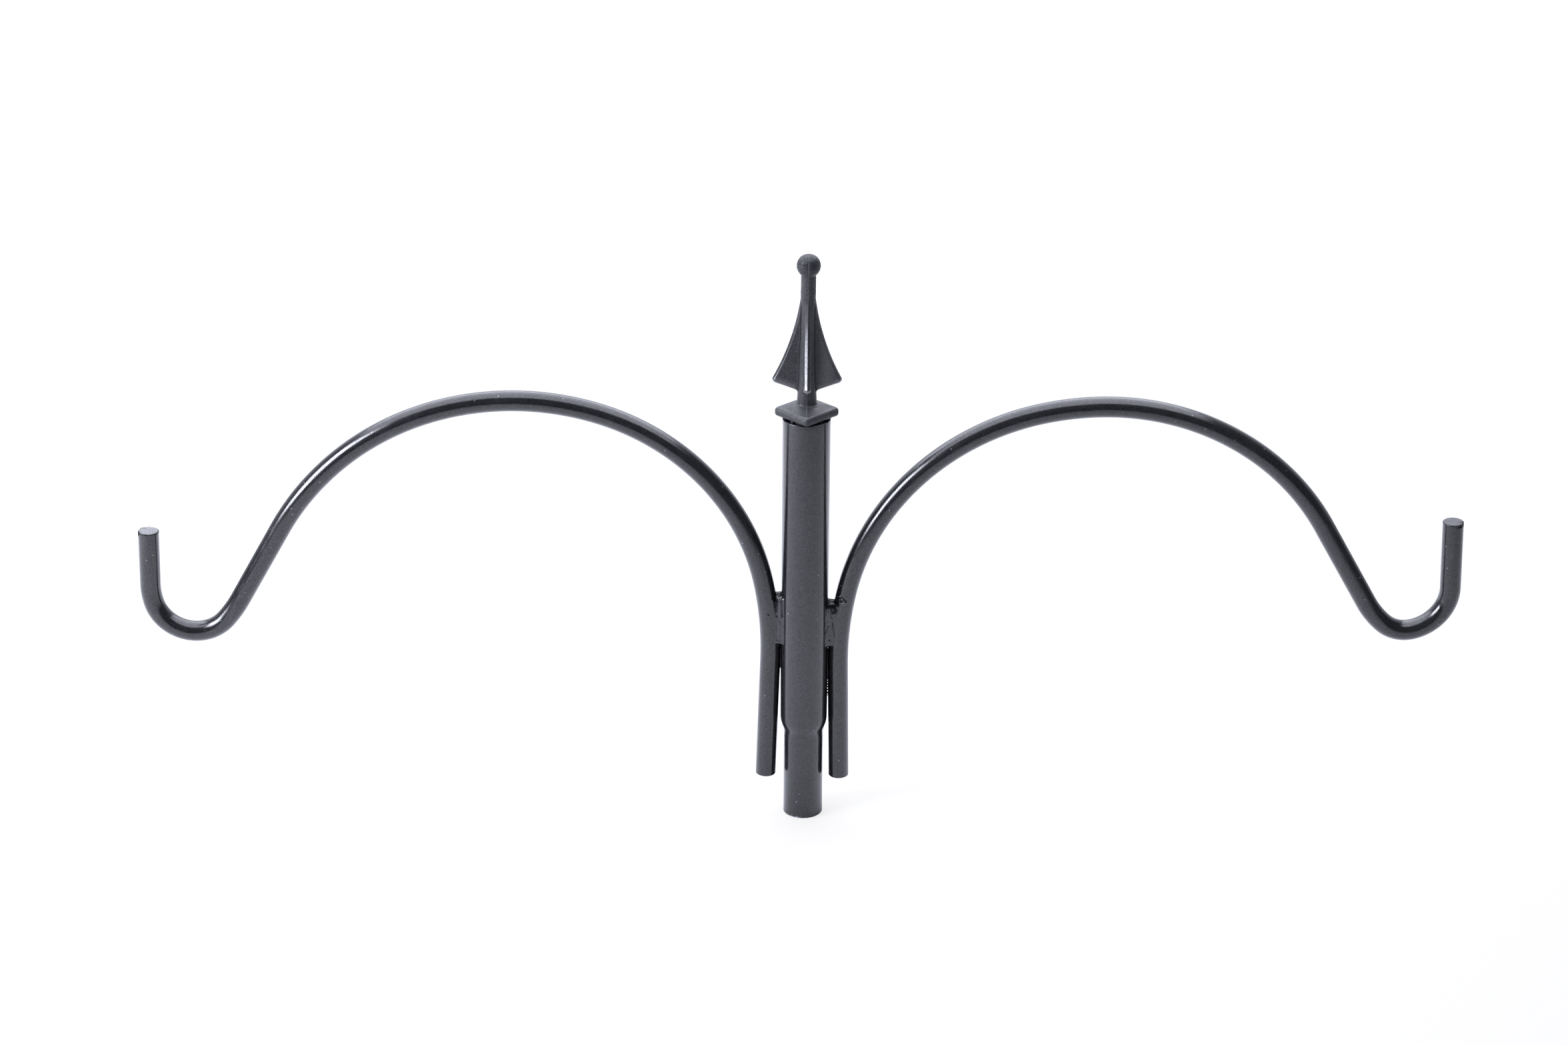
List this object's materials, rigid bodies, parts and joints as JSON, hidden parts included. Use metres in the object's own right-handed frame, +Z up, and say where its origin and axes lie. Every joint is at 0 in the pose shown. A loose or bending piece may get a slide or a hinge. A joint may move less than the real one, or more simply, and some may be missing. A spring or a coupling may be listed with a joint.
{
  "type": "bird feeder pole",
  "caption": "Top section of a stacking bird feeder pole: a steel tube with bent bar arms ending in open hooks, and a push-fit plastic finial.",
  "frame": {"origin": "centre of the tube's lower end, on the spigot's end face, where the spigot enters the next section", "axes": "+Z up the tube to the finial, +X through the right arm's hook as seen from the front, -Y towards the front, where the pictured weld beads are"},
  "size_m": [0.6181, 0.0318, 0.2824],
  "materials": {
    "powder_coat": "satin charcoal-black powder coat over steel, with fine orange peel and light specks",
    "plastic": "matte dark plastic, injection moulded, with a fine parting line"
  },
  "bodies": {
    "frame": {"pole_tube": "powder_coat", "spigot": "powder_coat", "left_arm": "powder_coat", "right_arm": "powder_coat", "left_front_weld": "powder_coat", "left_rear_weld": "powder_coat", "right_front_weld": "powder_coat", "right_rear_weld": "powder_coat"},
    "cap": {"finial": "plastic"}
  },
  "joints": [
    {"name": "finial_lift", "type": "slide", "parent": "frame", "child": "cap", "axis": [0, 0, 1], "range_m": [0, 0.025]}
  ]
}
